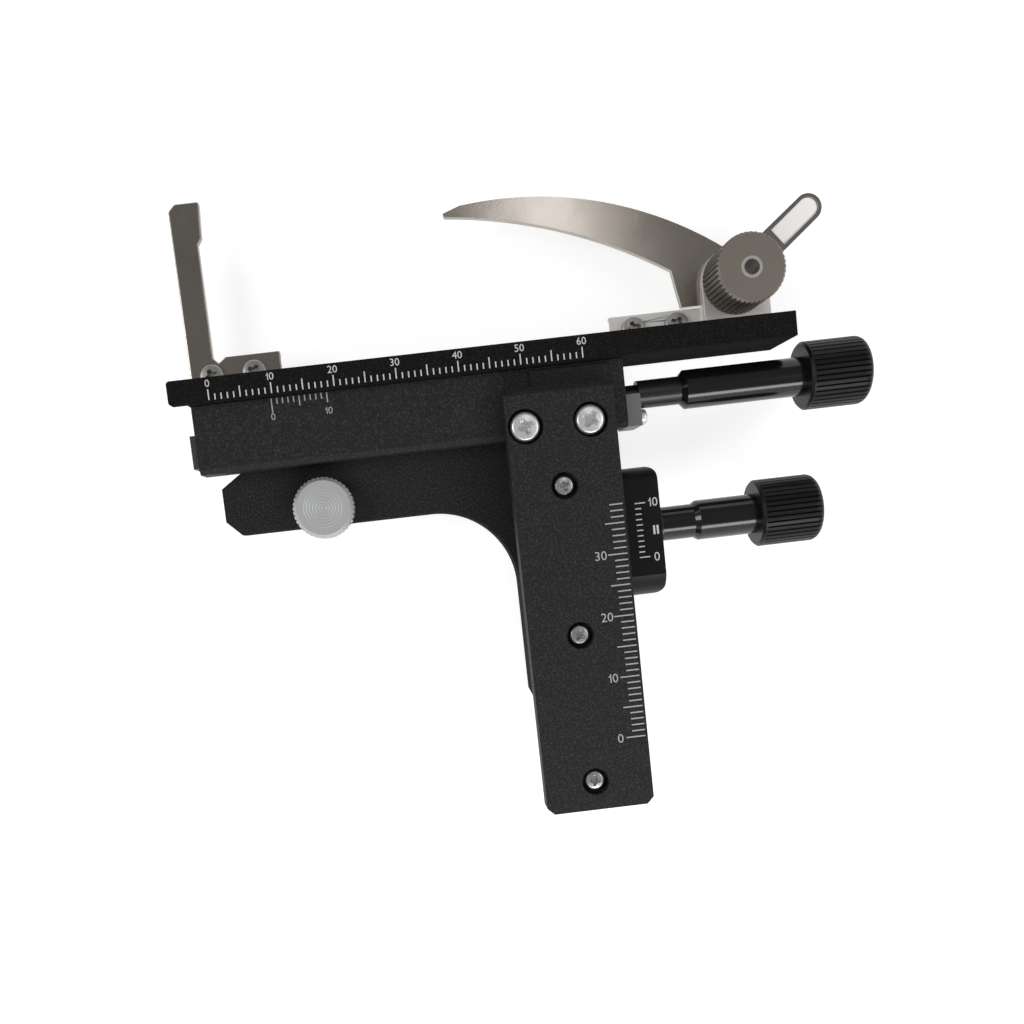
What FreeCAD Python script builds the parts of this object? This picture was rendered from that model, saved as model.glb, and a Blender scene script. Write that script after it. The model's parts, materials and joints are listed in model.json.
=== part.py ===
import FreeCAD, Part
import math
import os
import re

import Sketcher

document = FreeCAD.newDocument("mechanical_stage")
sheet = document.addObject("Spreadsheet::Sheet", "Size")
finished = []


# Driving dimensions in millimetres, and the pressure angle in degrees. The origin is the
# thumbscrew's axis on the surface that the arm stands on: x runs along the cross slide,
# y away from the user, z up.
SIZES = {
    # Bracket
    "arm_thickness": 5.0,
    "arm_reach": 17.0,
    "arm_front": 2.85,
    "arm_rear": 7.7,
    "arm_corner": 2.5,
    "web_radius": 13.5,
    "body_left": 31.25,
    "body_right": 48.0,
    "body_rear": 4.7,
    "body_front": 41.0,
    "body_top": 9.7,
    "nose_width": 2.5,
    "nose_length": 6.0,
    "casting_edge": 0.4,
    "pin_spacing": 22.0,
    "pin_radius": 1.25,
    "pin_stem_radius": 1.7,
    "pin_depth": 2.0,
    "pin_reach": 2.5,
    # Mounting thumbscrew
    "thumb_radius": 5.05,
    "thumb_collar_radius": 3.4,
    "thumb_collar_height": 0.6,
    "thumb_head_height": 4.4,
    "thumb_shank_radius": 2.0,
    "thumb_neck_radius": 1.6,
    "thumb_reach": 6.5,
    "thumb_hole_radius": 2.25,
    "thumb_bevel": 0.6,
    # Clearances, broken edges and the length that a cut runs past a face
    "running_fit": 0.05,
    "slide_gap": 0.06,
    "axial_gap": 0.3,
    "edge_break": 0.4,
    "cut_margin": 1.0,
    "tap_depth": 3.0,
    # Bar, dovetail rail and rack of the fore and aft movement
    "rail_centre": 39.2,
    "bar_left": 8.4,
    "bar_right": 9.3,
    "bar_rear": 15.1,
    "bar_front": 54.4,
    "bar_bottom": 11.0,
    "bar_thickness": 3.8,
    "bar_corner": 1.1,
    "bar_bevel": 1.2,
    "rail_rear": 4.4,
    "rail_front": 53.4,
    "rail_bottom": 7.9,
    "rail_half_width": 5.9,
    "rail_lean": 1.15,
    "rail_neck": 9.9,
    "groove_floor_gap": 0.15,
    "rack_width": 3.2,
    "rack_back": 10.3,
    "gear_module": 0.5,
    "pinion_teeth": 12,
    "tooth_addendum": 0.4,
    "tooth_dedendum": 0.5,
    "backlash": 0.12,
    "rack_teeth": 25,
    "rack_first_tooth": 4,
    "pressure_angle": 25.0,
    "rail_screw_pitch": 24.3,
    "rail_screw_rear": -1.1,
    "small_head_radius": 1.6,
    "small_head_height": 1.1,
    "small_shank_radius": 0.8,
    "small_shank_length": 3.3,
    "small_bore_radius": 2.2,
    "small_bore_depth": 1.9,
    "large_head_radius": 2.4,
    "large_head_height": 1.7,
    "large_shank_radius": 1.0,
    "large_shank_length": 5.0,
    "large_bore_radius": 2.85,
    "large_bore_depth": 2.1,
    "bar_screw_pitch": 10.5,
    "bar_screw_line": 8.9,
    # Pinion drive of the fore and aft movement
    "pinion_axis": -9.1,
    "pinion_height": 5.9,
    "pinion_width": 2.6,
    "pinion_shaft_radius": 1.75,
    "blind_wall": 1.2,
    "block_right": 55.5,
    "block_rear": 0.9,
    "block_front": 20.7,
    "block_top": 9.0,
    "block_bottom": 1.6,
    "block_rear_round": 2.2,
    "block_rear_drop": 4.0,
    "block_front_round": 3.4,
    "block_front_drop": 5.1,
    "block_corner": 1.6,
    "block_screw_spread": 13.0,
    "block_screw_z": 3.6,
    "block_seat_radius": 1.8,
    "bush_radius": 2.6,
    "bush_flange_radius": 3.3,
    "bush_flange": 0.3,
    "pinion_neck_radius": 2.85,
    "pinion_neck_end": 61.3,
    "sleeve_taper": 0.8,
    "pinion_sleeve_radius": 3.35,
    "fore_knob_start": 71.9,
    # Knurled knobs
    "knob_length": 10.5,
    "knob_radius": 5.6,
    "knob_round": 1.5,
    "knob_ridges": 40,
    "knob_groove_width": 0.5,
    "knob_groove_depth": 0.3,
    "knob_cap": 2.0,
    "knob_plain_rim": 0.6,
    # Guide of the cross slide
    "guide_left": 19.1,
    "guide_right": 51.2,
    "guide_front": 7.4,
    "guide_rear": 18.4,
    "guide_bottom": 1.0,
    "guide_top": 11.0,
    "lip_bottom": 5.3,
    "lip_depth": 2.1,
    "guide_edge": 0.8,
    "cavity_front": 10.0,
    "cavity_rear": 16.4,
    "cavity_bottom": 4.4,
    "cavity_top": 9.4,
    "mouth_bottom": 5.5,
    "mouth_top": 8.3,
    "end_wall": 2.0,
    "register_height": 0.4,
    "register_left": 35.8,
    "register_right": 48.6,
    "register_gap": 0.1,
    "register_rear": 17.8,
    # Lead screw of the cross movement
    "screw_axis": 12.7,
    "screw_height": 6.9,
    "screw_radius": 1.75,
    "screw_pivot_radius": 0.75,
    "screw_shaft_radius": 2.3,
    "keeper_neck_radius": 1.7,
    "plate_thickness": 1.2,
    "plate_front": 8.6,
    "plate_rear": 14.0,
    "plate_bottom": 1.4,
    "plate_top": 9.2,
    "plate_screw_y": 11.2,
    "plate_screw_z": 2.8,
    "keeper_thickness": 2.5,
    "keeper_rear": 12.6,
    "keeper_bottom": 2.6,
    "keeper_top": 10.2,
    "keeper_screw_y": 9.0,
    "keeper_head_radius": 1.3,
    "keeper_head_height": 1.6,
    "cross_sleeve_start": 60.9,
    "cross_sleeve_radius": 3.2,
    "cross_knob_start": 81.5,
    # Cross slide
    "slide_left": 22.1,
    "slide_right": 79.2,
    "slide_front": 18.5,
    "strip_width": 3.9,
    "strip_bottom": 11.9,
    "strip_top": 13.4,
    "strip_corner": 0.6,
    "web_left": 19.4,
    "web_thickness": 2.6,
    "slide_bottom": 0.3,
    "foot_reach": 2.3,
    "foot_thickness": 0.7,
    "lug_reach": 5.1,
    "rib_right": 39.3,
    "rib_flange_front": 15.05,
    "nut_centre": 35.5,
    "nut_length": 6.0,
    "nut_front": 10.3,
    "nut_screw_depth": 0.9,
    "nut_seat_radius": 1.75,
    # Fixed finger
    "finger_left": 20.25,
    "finger_width": 4.2,
    "finger_rear": 53.2,
    "finger_thickness": 1.5,
    "finger_foot_right": 4.7,
    "finger_foot_rear": 27.45,
    "finger_notch_width": 2.15,
    "finger_notch_depth": 0.9,
    "finger_tip_step": 46.3,
    "finger_tip_rise": 1.0,
    "finger_tip_bulge": 0.7,
    "finger_tip_overhang": 1.05,
    "finger_tip_corner": 1.0,
    "finger_screw_pitch": 7.2,
    "finger_screw_left": 16.5,
    "holder_screw_line": 24.35,
    "holder_head_radius": 2.0,
    "holder_head_height": 1.2,
    # Spring finger
    "clip_left": 51.6,
    "clip_rear": 26.75,
    "clip_screw_left": 55.5,
    "clip_screw_pitch": 7.4,
    "pivot_x": 73.2,
    "pivot_y": 30.2,
    "pivot_radius": 1.75,
    "pivot_bore_radius": 1.25,
    "pivot_bore_depth": 4.0,
    "bridge_half_width": 5.7,
    "bridge_thickness": 1.7,
    "lever_thickness": 1.4,
    "hub_radius": 3.1,
    "heel_reach": 9.0,
    "tab_angle": 38.3,
    "tab_half_width": 2.35,
    "tab_reach": 17.9,
    "tab_recess_start": 10.8,
    "tab_recess_half": 1.75,
    "tab_recess_depth": 0.35,
    "lever_outer_radius": 63.0,
    "lever_inner_radius": 85.0,
    "tip_reach": 47.8,
    "tip_rise": 16.7,
    "tip_slope_run": 2.9,
    "tip_slope_rise": 1.0,
    "tip_round": 0.6,
    "crotch_reach": 0.9,
    "crotch_rise": 0.8,
    "shoulder_rise": 3.0,
    "heel_corner_run": 1.2,
    "heel_corner_rise": 0.15,
    "drum_radius": 5.65,
    "drum_height": 8.6,
    "drum_cap": 1.5,
    "drum_cavity_radius": 4.6,
    "drum_ridges": 44,
    "spring_wire_radius": 0.35,
    "spring_radius": 3.9,
    "spring_pitch": 1.1,
    "spring_height": 5.4,
}

# Sizes that follow from the driving ones. The sheet's sine and cosine take degrees.
FORMULAS = {
    "pitch_circle": "=gear_module * pinion_teeth / 2",
    "tip_circle": "=pitch_circle + tooth_addendum",
    "rack_line": "=pinion_height + pitch_circle",
    "tooth_pitch": "=pi * gear_module",
    "rack_lead": "=rack_first_tooth * tooth_pitch",
    "rack_span": "=(rack_teeth - 1) * tooth_pitch",
    "flank_slope": "=tan(pressure_angle)",
    "rack_tip_half": "=tooth_pitch / 4 - backlash / 4 - tooth_addendum * flank_slope",
    "rack_root_half": "=tooth_pitch / 4 - backlash / 4 + tooth_dedendum * flank_slope",
    "small_screw_tip": "=bar_bottom + bar_thickness - small_bore_depth - small_shank_length",
    "bar_screw_reach": "=large_bore_depth + large_shank_length - bar_thickness",
    "block_rear_bow": "=(block_rear_round ^ 2 + block_rear_drop ^ 2) / (2 * block_rear_round)",
    "block_front_bow": "=(block_front_round ^ 2 + block_front_drop ^ 2) / (2 * block_front_round)",
    "clip_right": "=pivot_x + bridge_half_width",
    "holder_front": "=slide_front + web_thickness + running_fit",
    "holder_inset": "=foot_thickness / 2",
    "nut_screw_reach": "=slide_front - rib_flange_front - running_fit",
    "drum_bottom": "=slide_bottom + finger_thickness + bridge_thickness + 0.1",
    "tab_cosine": "=cos(tab_angle)",
    "tab_sine": "=sin(tab_angle)",
    "tab_root": "=sqrt(hub_radius ^ 2 - tab_half_width ^ 2)",
    "tab_root_x": "=tab_root * tab_cosine + tab_half_width * tab_sine",
    "tab_root_y": "=tab_root * tab_sine - tab_half_width * tab_cosine",
    "tab_low_x": "=tab_reach * tab_cosine + tab_half_width * tab_sine",
    "tab_low_y": "=tab_reach * tab_sine - tab_half_width * tab_cosine",
    "tab_end_x": "=(tab_reach + tab_half_width) * tab_cosine",
    "tab_end_y": "=(tab_reach + tab_half_width) * tab_sine",
    "tab_high_x": "=tab_reach * tab_cosine - tab_half_width * tab_sine",
    "tab_high_y": "=tab_reach * tab_sine + tab_half_width * tab_cosine",
}

for row, (name, content) in enumerate({**SIZES, **FORMULAS}.items(), start=1):
    sheet.set(f"A{row}", name)
    sheet.set(f"B{row}", str(content))
    sheet.setAlias(f"B{row}", name)
document.recompute()


def value(text):
    """The number that a sum of sheet names and plain numbers comes to, such as 'arm_rear + 2'."""
    total = 0.0
    sign = 1.0
    for word in text.split():
        if word in ("+", "-"):
            sign = 1.0 if word == "+" else -1.0
            continue
        head, slash, divisor = word.partition("/")
        number = float(head) if head[0].isdigit() else float(getattr(sheet, head))
        total += sign * number / (float(divisor) if slash else 1.0)
        sign = 1.0
    return total


def minus(text):
    """A sum of sheet names with its sign turned."""
    turned_text = text.translate(str.maketrans("+-", "-+"))
    return f"0 - {turned_text}"


def bind(thing, place, text):
    """Tie a property or a sketch dimension to cells of the sheet."""
    thing.setExpression(place, re.sub(r"[a-z]\w*", r"Size.\g<0>", text))


def new_body(label, *shift):
    """An empty body, moved from the origin by three sums of sheet names."""
    body = document.addObject("PartDesign::Body", label)
    body.Label = label
    for axis, text in zip("xyz", shift):
        bind(body, f"Placement.Base.{axis}", text)
    finished.append(body)
    return body


def origin_feature(body, role):
    return next(item for item in body.Origin.OriginFeatures if item.Role == role)


def new_sketch(body, plane, offset="0"):
    """A sketch on one of the body's own planes. XZ sketches face -y, YZ sketches face +x."""
    sketch = body.newObject("Sketcher::SketchObject", f"{body.Label}_sketch")
    sketch.AttachmentSupport = [(origin_feature(body, f"{plane}_Plane"), "")]
    sketch.MapMode = "FlatFace"
    bind(sketch, "AttachmentOffset.Base.z", offset)
    return sketch


def arc_between(start, end, radius, turn):
    """The shorter arc from start to end, turning left (1) or right (-1)."""
    chord = end - start
    middle = (start + end) * 0.5
    rise = math.sqrt(max(radius ** 2 - (chord.Length / 2) ** 2, 0.0))
    side = FreeCAD.Vector(-chord.y, chord.x, 0).normalize() * (turn * rise)
    centre = middle + side
    first, last = (start, end) if turn > 0 else (end, start)
    angles = [math.atan2(spot.y - centre.y, spot.x - centre.x) for spot in (first, last)]
    circle = Part.Circle(centre, FreeCAD.Vector(0, 0, 1), radius)
    return Part.ArcOfCircle(circle, angles[0], angles[1])


def outline(sketch, *corners):
    """A closed outline. A corner is (across, up), or (across, up, radius, turn) where an arc starts."""
    first = sketch.GeometryCount
    spots = [FreeCAD.Vector(value(corner[0]), value(corner[1]), 0) for corner in corners]
    following = spots[1:] + spots[:1]
    ends = []
    for corner, start, end in zip(corners, spots, following):
        if len(corner) == 2:
            sketch.addGeometry(Part.LineSegment(start, end))
            ends.append((1, 2))
        else:
            turn = corner[3]
            sketch.addGeometry(arc_between(start, end, value(corner[2]), turn))
            ends.append((1, 2) if turn > 0 else (2, 1))
    for place, corner in enumerate(corners):
        side = first + place
        after = first + (place + 1) % len(corners)
        start, end = ends[place]
        after_start = ends[after - first][0]
        sketch.addConstraint(Sketcher.Constraint("Coincident", side, end, after, after_start))
        hold(sketch, side, start, corner[0], corner[1])
        if len(corner) > 2:
            radius = Sketcher.Constraint("Radius", side, value(corner[2]))
            bind(sketch, f"Constraints[{sketch.addConstraint(radius)}]", corner[2])


def hold(sketch, side, point, across, up):
    """Fix one point of a sketch at sums of sheet names."""
    for kind, text in (("DistanceX", across), ("DistanceY", up)):
        distance = Sketcher.Constraint(kind, -1, 1, side, point, value(text))
        bind(sketch, f"Constraints[{sketch.addConstraint(distance)}]", text)


def rectangle(sketch, left, right, low, high):
    outline(sketch, (left, low), (right, low), (right, high), (left, high))


def disc(sketch, across, up, radius):
    centre = FreeCAD.Vector(value(across), value(up), 0)
    side = sketch.addGeometry(Part.Circle(centre, FreeCAD.Vector(0, 0, 1), value(radius)))
    hold(sketch, side, 3, across, up)
    bound = Sketcher.Constraint("Radius", side, value(radius))
    bind(sketch, f"Constraints[{sketch.addConstraint(bound)}]", radius)


def add_feature(body, kind, name):
    feature = body.newObject(f"PartDesign::{kind}", f"{body.Label}_{name}")
    body.Tip = feature
    return feature


def pad(body, sketch, length, name="pad"):
    """Material from the sketch along the way it faces."""
    feature = add_feature(body, "Pad", name)
    feature.Profile = sketch
    bind(feature, "Length", length)
    document.recompute()
    return feature


def cut(body, sketch, length, name="cut", forwards=False):
    """Take away against the way the sketch faces, or along it."""
    before = body.Shape.Volume
    feature = add_feature(body, "Pocket", name)
    feature.Profile = sketch
    bind(feature, "Length", length)
    feature.Reversed = forwards
    document.recompute()
    if not body.Shape.Volume < before - 1e-6:
        raise ValueError(f"{body.Label}: {name} cuts nothing")
    return feature


def repeat(body, kind, feature, axis, name, count, span=None):
    """A polar or linear pattern of a feature."""
    pattern = add_feature(body, kind, name)
    pattern.Originals = [feature]
    if kind == "PolarPattern":
        pattern.Axis = (origin_feature(body, axis), [""])
        pattern.Angle = 360
    else:
        pattern.Direction = (origin_feature(body, axis), [""])
        bind(pattern, "Length", span)
    bind(pattern, "Occurrences", count)
    body.Tip = pattern
    document.recompute()
    return pattern


def edge_names(body, wanted):
    return [f"Edge{place + 1}" for place, edge in enumerate(body.Tip.Shape.Edges) if wanted(edge)]


def soften(body, wanted, radius, kind="Fillet"):
    """Round or bevel the edges that pass the test."""
    base = body.Tip
    names = edge_names(body, wanted)
    if not names:
        raise ValueError(f"{body.Label}: no edge to soften")
    feature = add_feature(body, kind, kind.lower())
    feature.Base = (base, names)
    bind(feature, "Radius" if kind == "Fillet" else "Size", radius)
    document.recompute()


def near(first, second):
    return abs(first - second) < 1e-4


def level_edge(axis, text):
    """A test for edges that lie in one plane across an axis."""
    place = value(text)
    return lambda edge: all(near(getattr(spot.Point, axis), place) for spot in edge.Vertexes)


def upright_edge(edge):
    low, high = edge.BoundBox.ZMin, edge.BoundBox.ZMax
    return near(edge.Length, high - low) and high > low


def turned(label, axis, profile, *shift):
    """A turned piece: its profile is (along, radius) for the x axis or (radius, height) for z."""
    body = new_body(label, *shift)
    sketch = new_sketch(body, "XZ")
    outline(sketch, *profile)
    feature = add_feature(body, "Revolution", "turning")
    feature.Profile = sketch
    feature.ReferenceAxis = (sketch, ["H_Axis" if axis == "x" else "V_Axis"])
    feature.Angle = 360
    document.recompute()
    return body


def knurl(body, plane, offset, length, radius, ridges):
    """Straight V grooves all round a turned piece."""
    sketch = new_sketch(body, plane, offset)
    outline(
        sketch,
        ("0 - knob_groove_width/2", f"{radius} + knob_groove_depth/2"),
        ("0", f"{radius} - knob_groove_depth"),
        ("knob_groove_width/2", f"{radius} + knob_groove_depth/2"),
    )
    groove = cut(body, sketch, length, "groove")
    axis = "X_Axis" if plane == "YZ" else "Z_Axis"
    repeat(body, "PolarPattern", groove, axis, "knurl", ridges)


def fasteners(label, spots, turn, head_radius, head_height, shank_radius, shank_length):
    """Pan head screws: each spot is where the head seats, and the head stands up from it."""
    copies = []
    for spot in spots:
        shank = document.addObject("Part::Cylinder", f"{label}_shank")
        bind(shank, "Radius", shank_radius)
        bind(shank, "Height", shank_length)
        bind(shank, "Placement.Base.z", minus(shank_length))
        head = document.addObject("Part::Cylinder", f"{label}_head")
        bind(head, "Radius", head_radius)
        bind(head, "Height", f"{head_height}/2")
        crown = document.addObject("Part::Cone", f"{label}_crown")
        bind(crown, "Radius1", head_radius)
        bind(crown, "Radius2", f"{head_radius}/2 + {head_radius}/4")
        bind(crown, "Height", f"{head_height}/2")
        bind(crown, "Placement.Base.z", f"{head_height}/2")
        screw = document.addObject("Part::MultiFuse", f"{label}_screw")
        screw.Shapes = [shank, head, crown]
        screw.Placement.Rotation = turn
        for axis, text in zip("xyz", spot):
            bind(screw, f"Placement.Base.{axis}", text)
        copies.append(screw)
    group = document.addObject("Part::Compound", label)
    group.Label = label
    group.Links = copies
    finished.append(group)


UP = FreeCAD.Rotation()
RIGHT = FreeCAD.Rotation(FreeCAD.Vector(0, 1, 0), 90)
LEFT = FreeCAD.Rotation(FreeCAD.Vector(0, 1, 0), -90)
BACK = FreeCAD.Rotation(FreeCAD.Vector(1, 0, 0), -90)


# Bracket: the arm on the microscope's stage, the curved web and the dovetail body in one casting
def make_bracket():
    body = new_body("bracket")
    plan = new_sketch(body, "XY")
    outline(
        plan,
        ("0 - arm_reach + arm_corner", "0 - arm_front"),
        ("body_left - web_radius", "0 - arm_front", "web_radius", -1),
        ("body_left", "0 - arm_front - web_radius"),
        ("body_left", "nose_length - body_front"),
        ("body_left + nose_width", "0 - body_front"),
        ("body_right - nose_width", "0 - body_front"),
        ("body_right", "nose_length - body_front"),
        ("body_right", "arm_rear"),
        ("0 - arm_reach + arm_corner + arm_corner/2", "arm_rear"),
        ("0 - arm_reach", "arm_rear - arm_corner"),
        ("0 - arm_reach", "arm_corner - arm_front"),
    )
    pad(body, plan, "arm_thickness", "arm")
    tall = new_sketch(body, "XY")
    outline(
        tall,
        ("body_left", "nose_length - body_front"),
        ("body_left + nose_width", "0 - body_front"),
        ("body_right - nose_width", "0 - body_front"),
        ("body_right", "nose_length - body_front"),
        ("body_right", "body_rear"),
        ("body_left", "body_rear"),
    )
    pad(body, tall, "body_top", "dovetail_body")
    soften(body, lambda edge: rim_of_arm(edge), "casting_edge")
    groove = new_sketch(body, "XZ", "0 - body_rear - cut_margin")
    floor = "rail_bottom - groove_floor_gap"
    floor_half = "rail_half_width + slide_gap + groove_floor_gap/2"
    top_half = "rail_half_width - rail_lean + slide_gap + groove_floor_gap/2"
    outline(
        groove,
        (f"rail_centre {minus(floor_half)[2:]}", floor),
        (f"rail_centre + {floor_half}", floor),
        (f"rail_centre + {top_half}", "body_top"),
        (f"rail_centre + {top_half}", "body_top + cut_margin"),
        (f"rail_centre {minus(top_half)[2:]}", "body_top + cut_margin"),
        (f"rail_centre {minus(top_half)[2:]}", "body_top"),
    )
    cut(body, groove, "body_front + body_rear + cut_margin + cut_margin", "dovetail", forwards=True)
    bore = new_sketch(body, "YZ", "body_right")
    disc(bore, "pinion_axis", "pinion_height", "pinion_shaft_radius + running_fit")
    cut(body, bore, "body_right - body_left - blind_wall", "shaft_bore")
    room = new_sketch(body, "YZ", "rail_centre + pinion_width/2 + axial_gap")
    disc(room, "pinion_axis", "pinion_height", "tip_circle + axial_gap")
    cut(body, room, "pinion_width + axial_gap + axial_gap", "pinion_room")
    hole = new_sketch(body, "XY", "arm_thickness")
    disc(hole, "0", "0", "thumb_hole_radius")
    cut(body, hole, "arm_thickness", "thumbscrew_hole")
    sockets = new_sketch(body, "XY")
    disc(sockets, "pin_spacing/2", "0", "pin_stem_radius")
    disc(sockets, "0 - pin_spacing/2", "0", "pin_stem_radius")
    cut(body, sockets, "pin_depth", "pin_sockets", forwards=True)
    taps = new_sketch(body, "YZ", "body_right")
    for across in block_screw_spots():
        disc(taps, across, "block_screw_z", "small_shank_radius")
    cut(body, taps, "tap_depth", "block_taps")


def block_screw_spots():
    return [f"pinion_axis {side} block_screw_spread/2" for side in ("+", "-")]


def rim_of_arm(edge):
    """The arm's upper rim, clear of the body that rises from it."""
    if not level_edge("z", "arm_thickness")(edge):
        return False
    box = edge.BoundBox
    return box.XMax < value("body_left - edge_break") or box.YMin > value("body_rear + edge_break")


# Shouldered pins: the thicker stem is pressed into the arm
def make_locating_pins():
    pins = []
    for side in ("", "0 - "):
        stem = document.addObject("Part::Cylinder", "locating_pin_stem")
        bind(stem, "Radius", "pin_stem_radius")
        bind(stem, "Height", "pin_depth")
        foot = document.addObject("Part::Cylinder", "locating_pin_foot")
        bind(foot, "Radius", "pin_radius")
        bind(foot, "Height", "pin_reach")
        bind(foot, "Placement.Base.z", "0 - pin_reach")
        pin = document.addObject("Part::MultiFuse", "locating_pin")
        pin.Shapes = [stem, foot]
        bind(pin, "Placement.Base.x", f"{side}pin_spacing/2")
        pins.append(pin)
    group = document.addObject("Part::Compound", "locating_pins")
    group.Label = "locating_pins"
    group.Links = pins
    finished.append(group)


def make_thumbscrew():
    seat = "arm_thickness + running_fit"
    head = f"{seat} + thumb_collar_height"
    top = f"{head} + thumb_head_height"
    body = turned(
        "thumbscrew",
        "z",
        [
            ("0", "0 - thumb_reach"),
            ("thumb_shank_radius - edge_break", "0 - thumb_reach"),
            ("thumb_shank_radius", "edge_break - thumb_reach"),
            ("thumb_shank_radius", "0"),
            ("thumb_neck_radius", "0"),
            ("thumb_neck_radius", seat),
            ("thumb_collar_radius", seat),
            ("thumb_collar_radius", head),
            ("thumb_radius - edge_break", head),
            ("thumb_radius", f"{head} + edge_break"),
            ("thumb_radius", f"{top} - thumb_bevel"),
            ("thumb_radius - thumb_bevel", top),
            ("0", top),
        ],
    )
    knurl(body, "XY", top, "thumb_head_height", "thumb_radius", "knob_ridges")


# Bar with the long scale
def make_bar():
    body = new_body("y_bar", "rail_centre", "0", "bar_bottom")
    plan = new_sketch(body, "XY")
    rectangle(plan, "0 - bar_left", "bar_right", "0 - bar_front", "bar_rear")
    pad(body, plan, "bar_thickness")
    soften(body, upright_edge, "bar_corner", "Chamfer")
    rear = level_edge("y", "bar_rear")
    top = level_edge("z", "bar_thickness")
    soften(body, lambda edge: rear(edge) and top(edge), "bar_bevel", "Chamfer")
    for radius, depth, name in (("bore_radius", "bore_depth", "seats"), ("shank_radius", "", "holes")):
        for kind, spots in (("large", bar_screw_spots()), ("small", rail_screw_spots())):
            sketch = new_sketch(body, "XY", "bar_thickness")
            for across, along in spots:
                disc(sketch, across, along, f"{kind}_{radius}")
            reach = f"{kind}_{depth}" if depth else "bar_thickness"
            cut(body, sketch, reach, f"{kind}_{name}")


def bar_screw_spots():
    return [(f"{sign} bar_screw_pitch/2", "bar_screw_line") for sign in ("0 -", "0 +")]


def rail_screw_spots():
    spots = []
    for turn in range(3):
        spots.append(("0", "rail_screw_rear" + " - rail_screw_pitch" * turn))
    return spots


# Dovetail rail under the bar, slotted for the rack
def make_rail():
    body = new_body("dovetail_rail", "rail_centre")
    section = new_sketch(body, "XZ", "0 - rail_rear")
    outline(
        section,
        ("0 - rail_half_width", "rail_bottom"),
        ("0 - rack_width/2", "rail_bottom"),
        ("0 - rack_width/2", "rack_back"),
        ("rack_width/2", "rack_back"),
        ("rack_width/2", "rail_bottom"),
        ("rail_half_width", "rail_bottom"),
        ("rail_half_width - rail_lean", "rail_neck"),
        ("rail_half_width - rail_lean", "bar_bottom"),
        ("0 - rail_half_width + rail_lean", "bar_bottom"),
        ("0 - rail_half_width + rail_lean", "rail_neck"),
    )
    pad(body, section, "rail_rear + rail_front", "dovetail")
    holes = new_sketch(body, "XY", "bar_bottom")
    for across, along in rail_screw_spots():
        disc(holes, across, along, "small_shank_radius")
    cut(body, holes, "bar_bottom - rack_back", "screw_holes")


# Rack: its pitch line runs over the pinion's pitch circle
def make_rack():
    body = new_body("rack", "rail_centre")
    back = new_sketch(body, "YZ", "0 - rack_width/2")
    rectangle(back, "0 - rail_front", "rail_rear", "rack_line + tooth_dedendum", "rack_back")
    pad(body, back, "rack_width", "back")
    tooth = new_sketch(body, "YZ", "0 - rack_width/2")
    centre = "pinion_axis + rack_lead"
    outline(
        tooth,
        (f"{centre} - rack_tip_half", "rack_line - tooth_addendum"),
        (f"{centre} + rack_tip_half", "rack_line - tooth_addendum"),
        (f"{centre} + rack_root_half", "rack_line + tooth_dedendum"),
        (f"{centre} - rack_root_half", "rack_line + tooth_dedendum"),
    )
    first = pad(body, tooth, "rack_width", "tooth")
    pattern = repeat(body, "LinearPattern", first, "Y_Axis", "teeth", "rack_teeth", "rack_span")
    pattern.Reversed = True
    document.recompute()
    holes = new_sketch(body, "XY", "rack_back")
    for across, along in rail_screw_spots():
        disc(holes, across, along, "small_shank_radius")
    cut(body, holes, "rack_back - small_screw_tip", "screw_holes")


# Pinion: involute flanks through four points each, between the root and tip circles
def make_pinion():
    teeth = int(sheet.pinion_teeth)
    angle = math.radians(sheet.pressure_angle)
    pitch_radius = sheet.pitch_circle
    base_radius = pitch_radius * math.cos(angle)
    root_radius = pitch_radius - sheet.tooth_dedendum
    half_tooth = (math.pi * sheet.gear_module - sheet.backlash) / 4 / pitch_radius
    spots = []
    for tooth in range(teeth):
        middle = math.pi / 2 + (2 * tooth + 1) * math.pi / teeth
        flank = [(root_radius, half_tooth + involute(angle))]
        for radius in (base_radius, pitch_radius, sheet.tip_circle):
            lean = math.acos(min(base_radius / radius, 1.0))
            flank.append((radius, half_tooth + involute(angle) - involute(lean)))
        for radius, turn in flank:
            spots.append((radius, middle - turn))
        for radius, turn in reversed(flank):
            spots.append((radius, middle + turn))
    points = [FreeCAD.Vector(0, r * math.cos(turn), r * math.sin(turn)) for r, turn in spots]
    wire = Part.makePolygon(points + points[:1])
    blank = Part.Face(wire).extrude(FreeCAD.Vector(sheet.pinion_width, 0, 0))
    along = FreeCAD.Vector(1, 0, 0)
    bore = Part.makeCylinder(sheet.pinion_shaft_radius, sheet.pinion_width, FreeCAD.Vector(), along)
    pinion = document.addObject("Part::Feature", "pinion")
    pinion.Label = "pinion"
    pinion.Shape = blank.cut(bore)
    bind(pinion, "Placement.Base.x", "rail_centre - pinion_width/2")
    bind(pinion, "Placement.Base.y", "pinion_axis")
    bind(pinion, "Placement.Base.z", "pinion_height")
    finished.append(pinion)


def involute(angle):
    return math.tan(angle) - angle


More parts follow.
